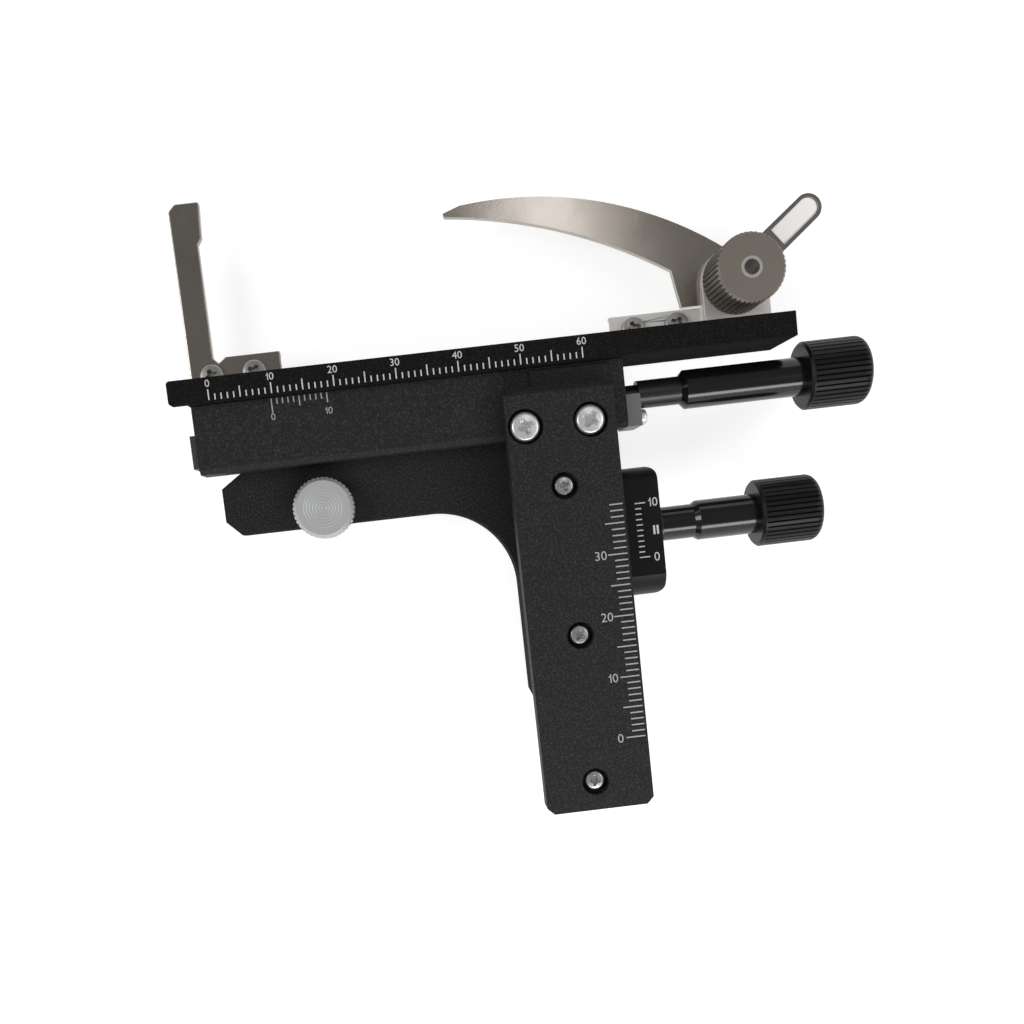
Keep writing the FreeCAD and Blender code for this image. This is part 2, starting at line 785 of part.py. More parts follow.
# Block on the bracket's right side that carries the vernier and the pinion shaft's bush
def make_vernier_block():
    body = new_body("vernier_block")
    plan = new_sketch(body, "XY", "block_bottom")
    outline(
        plan,
        ("body_right", "0 - block_front"),
        ("block_right - block_corner", "0 - block_front", "block_corner", 1),
        ("block_right", "block_corner - block_front"),
        ("block_right", "block_rear - block_corner", "block_corner", 1),
        ("block_right - block_corner", "block_rear"),
        ("body_right", "block_rear"),
    )
    pad(body, plan, "block_top - block_bottom")
    bows = new_sketch(body, "YZ", "block_right")
    over = "block_top + cut_margin"
    outline(
        bows,
        ("block_rear", "block_top - block_rear_drop", "block_rear_bow", 1),
        ("block_rear - block_rear_round", "block_top"),
        ("block_rear - block_rear_round", over),
        ("block_rear + cut_margin", over),
        ("block_rear + cut_margin", "block_top - block_rear_drop"),
    )
    outline(
        bows,
        ("block_front_round - block_front", "block_top", "block_front_bow", 1),
        ("0 - block_front", "block_top - block_front_drop"),
        ("0 - block_front - cut_margin", "block_top - block_front_drop"),
        ("0 - block_front - cut_margin", over),
        ("block_front_round - block_front", over),
    )
    cut(body, bows, "block_right - body_right", "bows")
    bore = new_sketch(body, "YZ", "block_right")
    disc(bore, "pinion_axis", "pinion_height", "bush_radius")
    for across in block_screw_spots():
        disc(bore, across, "block_screw_z", "small_shank_radius")
    cut(body, bore, "block_right - body_right", "bores")
    seats = new_sketch(body, "YZ", "block_right")
    for across in block_screw_spots():
        disc(seats, across, "block_screw_z", "block_seat_radius")
    cut(body, seats, "small_head_height", "screw_seats")


def make_bush():
    turned(
        "pinion_bush",
        "x",
        [
            ("body_right", "pinion_shaft_radius + running_fit"),
            ("block_right + bush_flange", "pinion_shaft_radius + running_fit"),
            ("block_right + bush_flange", "bush_flange_radius"),
            ("block_right", "bush_flange_radius"),
            ("block_right", "bush_radius"),
            ("body_right", "bush_radius"),
        ],
        "0",
        "pinion_axis",
        "pinion_height",
    )


def make_pinion_drive():
    place = ("0", "pinion_axis", "pinion_height")
    start = "body_left + blind_wall + axial_gap"
    end = "fore_knob_start + knob_length - knob_cap"
    turned(
        "pinion_shaft",
        "x",
        [(start, "0"), (end, "0"), (end, "pinion_shaft_radius"), (start, "pinion_shaft_radius")],
        *place,
    )
    inner = "block_right + bush_flange + running_fit"
    turned(
        "pinion_sleeve",
        "x",
        [
            (inner, "pinion_shaft_radius"),
            ("fore_knob_start", "pinion_shaft_radius"),
            ("fore_knob_start", "pinion_sleeve_radius"),
            ("pinion_neck_end + sleeve_taper", "pinion_sleeve_radius"),
            ("pinion_neck_end", "pinion_neck_radius"),
            (inner, "pinion_neck_radius"),
        ],
        *place,
    )
    make_knob("fore_aft_knob", "fore_knob_start", "pinion_shaft_radius", place)


def make_knob(label, start, bore, place):
    """A knurled knob with round shoulders, closed at its outer end."""
    end = f"{start} + knob_length"
    body = turned(
        label,
        "x",
        [
            (start, bore),
            (f"{end} - knob_cap", bore),
            (f"{end} - knob_cap", "0"),
            (end, "0"),
            (end, "knob_radius - knob_round", "knob_round", 1),
            (f"{end} - knob_round", "knob_radius"),
            (f"{start} + edge_break", "knob_radius"),
            (start, "knob_radius - edge_break"),
        ],
        *place,
    )
    knurl(body, "YZ", end, "knob_length - knob_plain_rim", "knob_radius", "knob_ridges")


# Guide of the cross slide: a T slot along its rear face opens into the lead screw's room
def make_guide():
    body = new_body("x_guide")
    section = new_sketch(body, "YZ", "0 - guide_left")
    outline(
        section,
        ("guide_front", "lip_bottom"),
        ("guide_front + lip_depth", "lip_bottom"),
        ("guide_front + lip_depth", "guide_bottom"),
        ("guide_rear", "guide_bottom"),
        ("guide_rear", "guide_top"),
        ("guide_front + guide_edge", "guide_top"),
        ("guide_front", "guide_top - guide_edge"),
    )
    pad(body, section, "guide_left + guide_right", "block")
    slot = new_sketch(body, "YZ", "0 - guide_left")
    outline(
        slot,
        ("cavity_front", "cavity_bottom"),
        ("cavity_rear", "cavity_bottom"),
        ("cavity_rear", "mouth_bottom"),
        ("guide_rear + cut_margin", "mouth_bottom"),
        ("guide_rear + cut_margin", "mouth_top"),
        ("cavity_rear", "mouth_top"),
        ("cavity_rear", "cavity_top"),
        ("cavity_front", "cavity_top"),
    )
    cut(body, slot, "guide_left + guide_right - end_wall", "t_slot", forwards=True)
    bearing = new_sketch(body, "YZ", "guide_right")
    disc(bearing, "screw_axis", "screw_height", "screw_shaft_radius + running_fit")
    cut(body, bearing, "end_wall", "bearing")
    tap = new_sketch(body, "YZ", "guide_right")
    disc(tap, "keeper_screw_y", "screw_height", "small_shank_radius")
    cut(body, tap, "end_wall", "keeper_tap")
    plate_tap = new_sketch(body, "YZ", "0 - guide_left")
    disc(plate_tap, "plate_screw_y", "plate_screw_z", "small_shank_radius")
    cut(body, plate_tap, "tap_depth", "plate_tap", forwards=True)
    bar_taps = new_sketch(body, "XY", "guide_top")
    for across, along in bar_screw_spots():
        disc(bar_taps, f"rail_centre {across[2:]}", along, "large_shank_radius")
    cut(body, bar_taps, "bar_screw_reach", "bar_taps")
    register = new_sketch(body, "XY", "guide_top")
    rectangle(register, "register_left", "register_right", "bar_rear + register_gap", "register_rear")
    pad(body, register, "register_height", "register")


def make_end_plate():
    body = new_body("guide_end_plate")
    face = new_sketch(body, "YZ", "0 - guide_left - plate_thickness")
    rectangle(face, "plate_front", "plate_rear", "plate_bottom", "plate_top")
    disc(face, "screw_axis", "screw_height", "screw_pivot_radius + running_fit")
    disc(face, "plate_screw_y", "plate_screw_z", "small_shank_radius")
    pad(body, face, "plate_thickness")


def make_keeper_plate():
    body = new_body("keeper_plate")
    face = new_sketch(body, "YZ", "guide_right")
    rectangle(face, "guide_front", "keeper_rear", "keeper_bottom", "keeper_top")
    pad(body, face, "keeper_thickness")
    notch = new_sketch(body, "YZ", "guide_right + keeper_thickness")
    disc(notch, "screw_axis", "screw_height", "keeper_neck_radius + running_fit")
    disc(notch, "keeper_screw_y", "screw_height", "small_shank_radius")
    cut(body, notch, "keeper_thickness", "neck_notch")


def make_lead_screw():
    place = ("0", "screw_axis", "screw_height")
    pivot = "axial_gap - guide_left - plate_thickness"
    thread = "running_fit + running_fit - guide_left"
    journal = "guide_right - end_wall + running_fit"
    neck_start = "guide_right - running_fit"
    neck_end = "guide_right + keeper_thickness + running_fit"
    end = "cross_knob_start + knob_length - knob_cap"
    turned(
        "lead_screw",
        "x",
        [
            (pivot, "0"),
            (end, "0"),
            (end, "screw_shaft_radius"),
            (neck_end, "screw_shaft_radius"),
            (neck_end, "keeper_neck_radius"),
            (neck_start, "keeper_neck_radius"),
            (neck_start, "screw_shaft_radius"),
            (journal, "screw_shaft_radius"),
            (journal, "screw_radius"),
            (thread, "screw_radius"),
            (thread, "screw_pivot_radius"),
            (pivot, "screw_pivot_radius"),
        ],
        *place,
    )
    turned(
        "lead_screw_sleeve",
        "x",
        [
            ("cross_sleeve_start", "screw_shaft_radius"),
            ("cross_knob_start", "screw_shaft_radius"),
            ("cross_knob_start", "cross_sleeve_radius"),
            ("cross_sleeve_start + sleeve_taper", "cross_sleeve_radius"),
            ("cross_sleeve_start", "screw_shaft_radius + running_fit"),
        ],
        *place,
    )
    make_knob("cross_knob", "cross_knob_start", "screw_shaft_radius", place)


# Cross slide: a scale strip on a tall web, with a T rib that runs in the guide
def make_slide():
    body = new_body("x_slide")
    web_rear = "slide_front + web_thickness"
    foot_top = "slide_bottom + foot_thickness"
    foot = ("slide_bottom", foot_top)
    lug = ("slide_front", f"{web_rear} + lug_reach", *foot)
    strip = ("slide_front", "slide_front + strip_width", "strip_bottom", "strip_top")
    neck = ("rib_flange_front", "slide_front", "mouth_bottom + slide_gap", "mouth_top - slide_gap")
    flange_rear = "cavity_rear - slide_gap"
    flange = ("rib_flange_front", flange_rear, "cavity_bottom + slide_gap", "cavity_top - slide_gap")
    left_lug_end = "0 - finger_foot_right - holder_inset"
    pieces = (
        ("web", "0 - web_left", "slide_right", "slide_front", web_rear, "slide_bottom", "strip_top"),
        ("strip", "0 - slide_left", "slide_right", *strip),
        ("foot", "0 - web_left", "slide_right", "slide_front", f"{web_rear} + foot_reach", *foot),
        ("left_lug", "0 - web_left", left_lug_end, *lug),
        ("right_lug", "clip_left + holder_inset", "clip_right - holder_inset", *lug),
        ("rib_neck", "0 - web_left", "rib_right", *neck),
        ("rib_flange", "0 - web_left", "rib_right", *flange),
    )
    for name, left, right, front, rear, low, high in pieces:
        section = new_sketch(body, "YZ", left)
        rectangle(section, front, rear, low, high)
        pad(body, section, f"{right} {minus(left)[2:]}", name)
    left_end = level_edge("x", "0 - slide_left")
    soften(body, lambda edge: upright_edge(edge) and left_end(edge), "strip_corner")
    pocket = new_sketch(body, "XZ", "0 - slide_front")
    nut_half = "nut_length/2"
    nut_ends = (f"nut_centre - {nut_half}", f"nut_centre + {nut_half}")
    rectangle(pocket, *nut_ends, "cavity_bottom", "cavity_top")
    cut(body, pocket, "slide_front - rib_flange_front + slide_gap", "nut_gap", forwards=True)
    hole = new_sketch(body, "XZ", minus(web_rear))
    disc(hole, "nut_centre", "screw_height", "small_shank_radius")
    cut(body, hole, "web_thickness", "nut_screw_hole", forwards=True)
    seat = new_sketch(body, "XZ", minus(web_rear))
    disc(seat, "nut_centre", "screw_height", "nut_seat_radius")
    cut(body, seat, "nut_screw_depth", "nut_screw_seat", forwards=True)
    holes = new_sketch(body, "XY", foot_top)
    for across in holder_screw_spots():
        disc(holes, across, "holder_screw_line", "small_shank_radius")
    cut(body, holes, "foot_thickness", "holder_taps")


def holder_screw_spots():
    return [
        "0 - finger_screw_left",
        "0 - finger_screw_left + finger_screw_pitch",
        "clip_screw_left",
        "clip_screw_left + clip_screw_pitch",
    ]


def make_nut():
    body = new_body("traversing_nut")
    head = new_sketch(body, "YZ", "nut_centre - nut_length/2")
    low = "cavity_bottom + slide_gap"
    high = "cavity_top - slide_gap"
    outline(
        head,
        ("nut_front", low),
        ("cavity_rear - slide_gap", low),
        ("cavity_rear - slide_gap", "mouth_bottom + slide_gap"),
        ("slide_front", "mouth_bottom + slide_gap"),
        ("slide_front", "mouth_top - slide_gap"),
        ("cavity_rear - slide_gap", "mouth_top - slide_gap"),
        ("cavity_rear - slide_gap", high),
        ("nut_front", high),
    )
    disc(head, "screw_axis", "screw_height", "screw_radius + running_fit")
    pad(body, head, "nut_length")
    tap = new_sketch(body, "XZ", "0 - slide_front")
    disc(tap, "nut_centre", "screw_height", "small_shank_radius")
    cut(body, tap, "nut_screw_reach", "tap", forwards=True)


# Fixed finger: a flat plate, lapped over the slide's lug
def make_fixed_finger():
    body = new_body("fixed_finger")
    plate = new_sketch(body, "XY", "slide_bottom")
    inner = "finger_width - finger_left"
    outline(
        plate,
        ("0 - finger_left", "holder_front"),
        ("0 - finger_foot_right", "holder_front"),
        ("0 - finger_foot_right", "finger_foot_rear"),
        (f"{inner} + finger_notch_width", "finger_foot_rear"),
        (f"{inner} + finger_notch_depth", "finger_foot_rear - finger_notch_depth"),
        (inner, "finger_foot_rear"),
        (inner, "finger_tip_step"),
        (f"{inner} + finger_tip_bulge", "finger_tip_step + finger_tip_rise"),
        (f"{inner} + finger_tip_overhang", "finger_rear"),
        ("finger_tip_corner - finger_left", "finger_rear"),
        ("0 - finger_left", "finger_rear - finger_tip_corner"),
    )
    pad(body, plate, "finger_thickness")
    lap(body, "0 - finger_left", "0 - finger_foot_right")
    holes = new_sketch(body, "XY", "slide_bottom + finger_thickness")
    for across in holder_screw_spots()[:2]:
        disc(holes, across, "holder_screw_line", "small_shank_radius")
    cut(body, holes, "finger_thickness", "screw_holes")


def lap(body, left, right):
    """Take the plate's underside away over the slide's lug, so that it lies low outside it."""
    under = new_sketch(body, "XY", "slide_bottom")
    rear = "slide_front + web_thickness + lug_reach + running_fit"
    ends = (f"{left} - cut_margin", f"{right} + cut_margin")
    rectangle(under, *ends, "holder_front - cut_margin", rear)
    cut(body, under, "foot_thickness", "lap", forwards=True)


def make_clip_base():
    body = new_body("clip_base")
    plate = new_sketch(body, "XY", "slide_bottom")
    rectangle(plate, "clip_left", "clip_right", "holder_front", "clip_rear")
    pad(body, plate, "finger_thickness", "plate")
    lap(body, "clip_left", "clip_right")
    bridge = new_sketch(body, "XY", "slide_bottom + finger_thickness")
    outline(
        bridge,
        ("pivot_x - bridge_half_width", "holder_front"),
        ("pivot_x + bridge_half_width", "holder_front"),
        ("pivot_x + bridge_half_width", "pivot_y", "bridge_half_width", 1),
        ("pivot_x", "pivot_y + bridge_half_width", "bridge_half_width", 1),
        ("pivot_x - bridge_half_width", "pivot_y"),
    )
    pad(body, bridge, "bridge_thickness", "bridge")
    bore = new_sketch(body, "XY", "slide_bottom + finger_thickness + bridge_thickness")
    disc(bore, "pivot_x", "pivot_y", "pivot_radius + running_fit")
    cut(body, bore, "bridge_thickness", "pivot_bore")
    holes = new_sketch(body, "XY", "slide_bottom + finger_thickness")
    for across in holder_screw_spots()[2:]:
        disc(holes, across, "holder_screw_line", "small_shank_radius")
    cut(body, holes, "finger_thickness", "screw_holes")


# Spring lever: a curved finger, a round hub and a thumb tab in one plate
def make_lever():
    body = new_body("clip_lever", "pivot_x", "pivot_y", "slide_bottom + running_fit")
    plate = new_sketch(body, "XY")
    outline(
        plate,
        ("0 - heel_reach", "0 - hub_radius"),
        ("0", "0 - hub_radius", "hub_radius", 1),
        ("tab_root_x", "tab_root_y"),
        ("tab_low_x", "tab_low_y", "tab_half_width", 1),
        ("tab_end_x", "tab_end_y", "tab_half_width", 1),
        ("tab_high_x", "tab_high_y"),
        ("crotch_reach", "hub_radius + crotch_rise"),
        ("0 - crotch_reach", "hub_radius + shoulder_rise", "lever_outer_radius", 1),
        ("tip_slope_run - tip_reach", "tip_rise + tip_slope_rise"),
        ("0 - tip_reach", "tip_rise", "tip_round", 1),
        ("tip_round/2 - tip_reach", "tip_rise - tip_round", "lever_inner_radius", -1),
        ("0 - heel_reach - heel_corner_run", "hub_radius + heel_corner_rise"),
        ("0 - heel_reach - heel_corner_run/2", "0"),
    )
    pad(body, plate, "lever_thickness")
    hole = new_sketch(body, "XY", "lever_thickness")
    disc(hole, "0", "0", "pivot_radius")
    cut(body, hole, "lever_thickness", "pivot_hole")
    recess = new_sketch(body, "XY", "lever_thickness")
    bind(recess, "AttachmentOffset.Rotation.Angle", "tab_angle")
    outline(
        recess,
        ("tab_recess_start", "0 - tab_recess_half"),
        ("tab_reach", "0 - tab_recess_half", "tab_recess_half", 1),
        ("tab_reach + tab_recess_half", "0", "tab_recess_half", 1),
        ("tab_reach", "tab_recess_half"),
        ("tab_recess_start", "tab_recess_half"),
    )
    cut(body, recess, "tab_recess_depth", "tab_recess")


def make_pivot():
    low = "slide_bottom + running_fit"
    top = "drum_bottom + drum_height"
    turned(
        "pivot_pin",
        "z",
        [
            ("0", low),
            ("pivot_radius", low),
            ("pivot_radius", top),
            ("pivot_bore_radius", top),
            ("pivot_bore_radius", f"{top} - pivot_bore_depth"),
            ("0", f"{top} - pivot_bore_depth"),
        ],
        "pivot_x",
        "pivot_y",
    )
    roof = f"{top} - drum_cap"
    drum = turned(
        "spring_drum",
        "z",
        [
            ("drum_cavity_radius", "drum_bottom"),
            ("drum_radius", "drum_bottom"),
            ("drum_radius", f"{top} - edge_break"),
            ("drum_radius - edge_break", top),
            ("pivot_radius", top),
            ("pivot_radius", roof),
            ("drum_cavity_radius", roof),
        ],
        "pivot_x",
        "pivot_y",
    )
    knurl(drum, "XY", top, "drum_height", "drum_radius", "drum_ridges")
    spring = new_body("clip_spring", "pivot_x", "pivot_y")
    wire = new_sketch(spring, "XZ")
    disc(wire, "spring_radius", "drum_bottom + axial_gap + spring_wire_radius", "spring_wire_radius")
    coil = spring.newObject("PartDesign::AdditiveHelix", "clip_spring_coil")
    coil.Profile = wire
    coil.ReferenceAxis = (wire, ["V_Axis"])
    coil.Mode = 0
    bind(coil, "Pitch", "spring_pitch")
    bind(coil, "Height", "spring_height")
    spring.Tip = coil
    document.recompute()


def make_screws():
    bar_top = "bar_bottom + bar_thickness"
    spots = []
    for across, along in bar_screw_spots():
        spots.append((f"rail_centre {across[2:]}", along, f"{bar_top} - large_bore_depth"))
    large_head = ("large_head_radius", "large_head_height")
    fasteners("bar_screws", spots, UP, *large_head, "large_shank_radius", "large_shank_length")

    small_head = ("small_head_radius", "small_head_height", "small_shank_radius")
    seat = f"{bar_top} - small_bore_depth"
    spots = [("rail_centre", along, seat) for across, along in rail_screw_spots()]
    fasteners("rail_screws", spots, UP, *small_head, "small_shank_length")

    pan_head = ("holder_head_radius", "holder_head_height", "small_shank_radius", "finger_thickness")
    seat = "slide_bottom + finger_thickness"
    spots = [(across, "holder_screw_line", seat) for across in holder_screw_spots()]
    fasteners("fixed_finger_screws", spots[:2], UP, *pan_head)
    fasteners("clip_base_screws", spots[2:], UP, *pan_head)

    spot = ("guide_right + keeper_thickness", "keeper_screw_y", "screw_height")
    head = ("keeper_head_radius", "keeper_head_height", "small_shank_radius")
    fasteners("keeper_screw", [spot], RIGHT, *head, "keeper_thickness + end_wall")

    spot = ("0 - guide_left - plate_thickness", "plate_screw_y", "plate_screw_z")
    head = ("keeper_head_radius", "plate_thickness/2", "small_shank_radius")
    fasteners("end_plate_screw", [spot], LEFT, *head, "plate_thickness + tap_depth")

    seat = "block_right - small_head_height"
    spots = [(seat, along, "block_screw_z") for along in block_screw_spots()]
    reach = f"{seat} - body_right + tap_depth"
    fasteners("vernier_block_screws", spots, RIGHT, *small_head, reach)

    seat = "slide_front + web_thickness - nut_screw_depth"
    head = ("small_head_radius", "nut_screw_depth", "small_shank_radius")
    spot = ("nut_centre", seat, "screw_height")
    fasteners("nut_screw", [spot], BACK, *head, f"{seat} - slide_front + nut_screw_reach")


make_bracket()
make_locating_pins()
make_thumbscrew()
make_bar()
make_rail()
make_rack()
make_pinion()
make_vernier_block()
make_bush()
make_pinion_drive()
make_guide()
make_end_plate()
make_keeper_plate()
make_lead_screw()
make_slide()
make_nut()
make_fixed_finger()
make_clip_base()
make_lever()
make_pivot()
make_screws()
document.recompute()

for thing in document.Objects:
    if "Invalid" in thing.State or "Error" in thing.State:
        raise ValueError(f"{thing.Label} did not build: {thing.State}")
os.makedirs("parts", exist_ok=True)
for thing in finished:
    if thing.Shape.isNull() or not thing.Shape.isValid() or not thing.Shape.Solids:
        raise ValueError(f"{thing.Label} is not a valid solid")
    thing.Shape.exportStep(f"parts/{thing.Label}.step")
    print(thing.Label, len(thing.Shape.Solids), round(thing.Shape.Volume, 2))
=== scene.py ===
import json
import math

import bmesh
import bpy
from mathutils import Matrix, Vector


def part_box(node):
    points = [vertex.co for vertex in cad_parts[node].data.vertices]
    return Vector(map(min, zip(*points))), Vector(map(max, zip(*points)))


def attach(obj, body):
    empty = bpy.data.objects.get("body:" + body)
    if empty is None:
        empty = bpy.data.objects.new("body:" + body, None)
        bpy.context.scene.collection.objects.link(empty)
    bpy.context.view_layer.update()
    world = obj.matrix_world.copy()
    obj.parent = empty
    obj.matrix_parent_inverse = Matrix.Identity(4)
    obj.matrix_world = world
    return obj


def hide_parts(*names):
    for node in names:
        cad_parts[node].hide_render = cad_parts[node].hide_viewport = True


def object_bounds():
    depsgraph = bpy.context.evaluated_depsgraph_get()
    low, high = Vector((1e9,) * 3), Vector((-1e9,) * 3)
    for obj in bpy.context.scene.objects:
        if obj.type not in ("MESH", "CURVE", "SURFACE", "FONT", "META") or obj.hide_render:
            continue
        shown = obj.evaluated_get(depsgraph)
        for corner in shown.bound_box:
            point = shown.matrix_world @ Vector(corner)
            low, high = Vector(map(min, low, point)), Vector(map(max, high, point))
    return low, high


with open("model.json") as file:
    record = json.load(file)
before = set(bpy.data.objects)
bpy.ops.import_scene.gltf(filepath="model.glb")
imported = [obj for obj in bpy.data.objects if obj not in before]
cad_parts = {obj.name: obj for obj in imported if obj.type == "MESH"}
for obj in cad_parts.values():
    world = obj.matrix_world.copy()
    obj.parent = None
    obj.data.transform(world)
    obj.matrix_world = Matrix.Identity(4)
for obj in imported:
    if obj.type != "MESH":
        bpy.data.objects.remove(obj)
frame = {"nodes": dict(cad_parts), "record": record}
cad_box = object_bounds()
nodes = frame["nodes"]
MM = 0.001


# Materials
def new_material(label):
    """A node material, its tree and its main shader."""
    material = bpy.data.materials.new(label)
    material.use_nodes = True
    tree = material.node_tree
    return material, tree, tree.nodes["Principled BSDF"]


def noise(tree, scale, detail=3.0):
    """Noise that stays with the piece it is on."""
    place = tree.nodes.new("ShaderNodeTexCoord")
    texture = tree.nodes.new("ShaderNodeTexNoise")
    texture.inputs["Scale"].default_value = scale
    texture.inputs["Detail"].default_value = detail
    tree.links.new(place.outputs["Object"], texture.inputs["Vector"])
    return texture.outputs["Fac"]


def ramp(tree, source, stops):
    """A colour ramp from (place, colour) stops."""
    node = tree.nodes.new("ShaderNodeValToRGB")
    band = node.color_ramp
    while len(band.elements) < len(stops):
        band.elements.new(0.5)
    for element, (place, colour) in zip(band.elements, stops):
        element.position = place
        element.color = (*colour, 1.0)
    tree.links.new(source, node.inputs["Fac"])
    return node.outputs["Color"]


def bump(tree, shader, source, strength, depth):
    node = tree.nodes.new("ShaderNodeBump")
    node.inputs["Strength"].default_value = strength
    node.inputs["Distance"].default_value = depth
    tree.links.new(source, node.inputs["Height"])
    tree.links.new(node.outputs["Normal"], shader.inputs["Normal"])


def grey(level, warmth=0.0):
    return (level * (1 + warmth), level, level * (1 - warmth))


def powder_coat(label, level, specks, gloss, roughness=0.6):
    """Fine, slightly sparkling powder coat."""
    material, tree, shader = new_material(label)
    grain = noise(tree, 3600.0, 3.0)
    stops = ((0.3, grey(level * 0.7)), (0.52, grey(level)), (0.72, grey(specks)))
    colour = ramp(tree, grain, stops)
    tree.links.new(colour, shader.inputs["Base Color"])
    shader.inputs["Roughness"].default_value = roughness
    shader.inputs["Specular IOR Level"].default_value = gloss
    bump(tree, shader, noise(tree, 2400.0, 4.0), 0.5, 0.00007)
    return material


def plain(label, colour, roughness, metallic=0.0, grain=0.0, scale=900.0, gloss=0.5):
    """A finish of one colour, with a fine grain in its surface."""
    material, tree, shader = new_material(label)
    shader.inputs["Base Color"].default_value = (*colour, 1.0)
    shader.inputs["Roughness"].default_value = roughness
    shader.inputs["Metallic"].default_value = metallic
    shader.inputs["Specular IOR Level"].default_value = gloss
    bump(tree, shader, noise(tree, scale), grain, 0.00004)
    return material


def satin_nickel(label, level):
    """Bead-blasted nickel plate, a little cloudy."""
    material, tree, shader = new_material(label)
    cloud = noise(tree, 120.0, 5.0)
    colour = ramp(tree, cloud, ((0.3, grey(level * 0.8, 0.13)), (0.7, grey(level, 0.09))))
    tree.links.new(colour, shader.inputs["Base Color"])
    shader.inputs["Metallic"].default_value = 1.0
    shader.inputs["Roughness"].default_value = 0.21
    bump(tree, shader, noise(tree, 3000.0), 0.2, 0.00003)
    return material


def turned_metal(label, level, centre, pitch, turned_radius, roughness, metallic):
    """Rings left by the lathe round an upright axis, within a radius in millimetres."""
    material, tree, shader = new_material(label)
    shader.inputs["Base Color"].default_value = (*grey(level, -0.01), 1.0)
    shader.inputs["Metallic"].default_value = metallic
    shader.inputs["Roughness"].default_value = roughness
    place = tree.nodes.new("ShaderNodeTexCoord")
    shift = tree.nodes.new("ShaderNodeVectorMath")
    shift.operation = "SUBTRACT"
    shift.inputs[1].default_value = (centre[0] * MM, centre[1] * MM, 0.0)
    flat = tree.nodes.new("ShaderNodeVectorMath")
    flat.operation = "MULTIPLY"
    flat.inputs[1].default_value = (1.0, 1.0, 0.0)
    reach = tree.nodes.new("ShaderNodeVectorMath")
    reach.operation = "LENGTH"
    turns = tree.nodes.new("ShaderNodeMath")
    turns.operation = "MULTIPLY"
    turns.inputs[1].default_value = 2 * math.pi / (pitch * MM)
    wave = tree.nodes.new("ShaderNodeMath")
    wave.operation = "SINE"
    tree.links.new(place.outputs["Object"], shift.inputs[0])
    tree.links.new(shift.outputs["Vector"], flat.inputs[0])
    tree.links.new(flat.outputs["Vector"], reach.inputs[0])
    tree.links.new(reach.outputs["Value"], turns.inputs[0])
    tree.links.new(turns.outputs["Value"], wave.inputs[0])
    inside = tree.nodes.new("ShaderNodeMath")
    inside.operation = "LESS_THAN"
    inside.inputs[1].default_value = turned_radius * MM
    tree.links.new(reach.outputs["Value"], inside.inputs[0])
    rings = tree.nodes.new("ShaderNodeMath")
    rings.operation = "MULTIPLY"
    tree.links.new(wave.outputs["Value"], rings.inputs[0])
    tree.links.new(inside.outputs["Value"], rings.inputs[1])
    bump(tree, shader, rings.outputs["Value"], 0.35, 0.00005)
    return material


def build_materials():
    return {
        "black_paint": powder_coat("speckled black powder coat", 0.018, 0.045, 0.12),
        "slide_black": powder_coat("flat black powder coat", 0.009, 0.021, 0.045, 0.95),
        "dark_plate": plain("dark textured plate", grey(0.03), 0.5, grain=0.5),
        "black_plastic": plain("glossy black plastic", grey(0.006), 0.15, grain=0.05),
        "black_steel": plain("blackened steel", grey(0.03), 0.3, 0.6, grain=0.05),
        "satin_nickel": satin_nickel("satin nickel", 0.37),
        "bright_zinc": plain("bright zinc", grey(0.74, 0.01), 0.32, 0.7, grain=0.2, scale=1800.0),
        "turned_grey": turned_metal("turned grey metal", 0.48, (0.0, 0.0), 0.5, 3.3, 0.38, 0.4),
        "brass": plain("brass", (0.62, 0.42, 0.16), 0.3, 1.0, grain=0.1),
        "steel": plain("steel", grey(0.5), 0.3, 1.0, grain=0.1),
    }


finishes = build_materials()
knob_finish = plain("satin black plastic", grey(0.006, 0.1), 0.36, grain=0.1, gloss=0.2)
special = {
    "spring_drum": plain("blasted nickel", grey(0.16, 0.14), 0.5, 0.5, grain=0.3, scale=2200.0),
    "pivot_pin": plain("turned nickel", grey(0.5, 0.04), 0.35, 1.0, grain=0.1),
    "clip_base": plain("pale nickel", grey(0.85, 0.04), 0.35, 0.2, grain=0.2, scale=2200.0),
    "keeper_plate": plain("worn dark plate", grey(0.15, 0.02), 0.45, 0.3, grain=0.3, scale=2200.0),
    "bracket": powder_coat("bracket powder coat", 0.019, 0.048, 0.05, 0.85),
    "vernier_block": plain(
        "satin black block", grey(0.006), 0.4, grain=0.25, scale=1500.0, gloss=0.15
    ),
    "fore_aft_knob": knob_finish,
    "cross_knob": knob_finish,
}
small_screw = plain("small zinc screw", grey(0.5, 0.01), 0.28, 0.9, grain=0.1, scale=2000.0)
dull_screw = plain("dull nickel screw", grey(0.36, 0.05), 0.36, 0.65, grain=0.15, scale=2000.0)
# Near-white, non-metallic colour of the thumb tab's recess floor: a painted highlight, brighter
# than the nickel round it.
tab_highlight_paint = plain("pale sheet with painted highlight", grey(0.92, 0.03), 0.4, grain=0.3, scale=2200.0)
mark_paint = plain("pale marking paint", grey(0.55, 0.02), 0.6)
bar_paint = plain("dim marking paint", grey(0.37, 0.02), 0.6)
faint_paint = plain("worn marking paint", grey(0.33, 0.02), 0.6)


# CAD nodes: each takes its record slot's finish or a special one, and six get softly broken edges
def dress_nodes():
    for part in frame["record"]["subparts"]:
        item = nodes[part["node"]]
        finish = special.get(part["node"], finishes[part["material_slot"]])
        item.data.materials.clear()
        item.data.materials.append(finish)


def soften(label, width, segments=2):
    """Break the sharp edges of a CAD node."""
    weld = nodes[label].modifiers.new("weld", "WELD")
    weld.merge_threshold = 0.000002
    edge = nodes[label].modifiers.new("edge", "BEVEL")
    edge.width = width * MM
    edge.segments = segments
    edge.limit_method = "ANGLE"
    edge.angle_limit = math.radians(40)
    edge.harden_normals = True
    edge.use_clamp_overlap = True


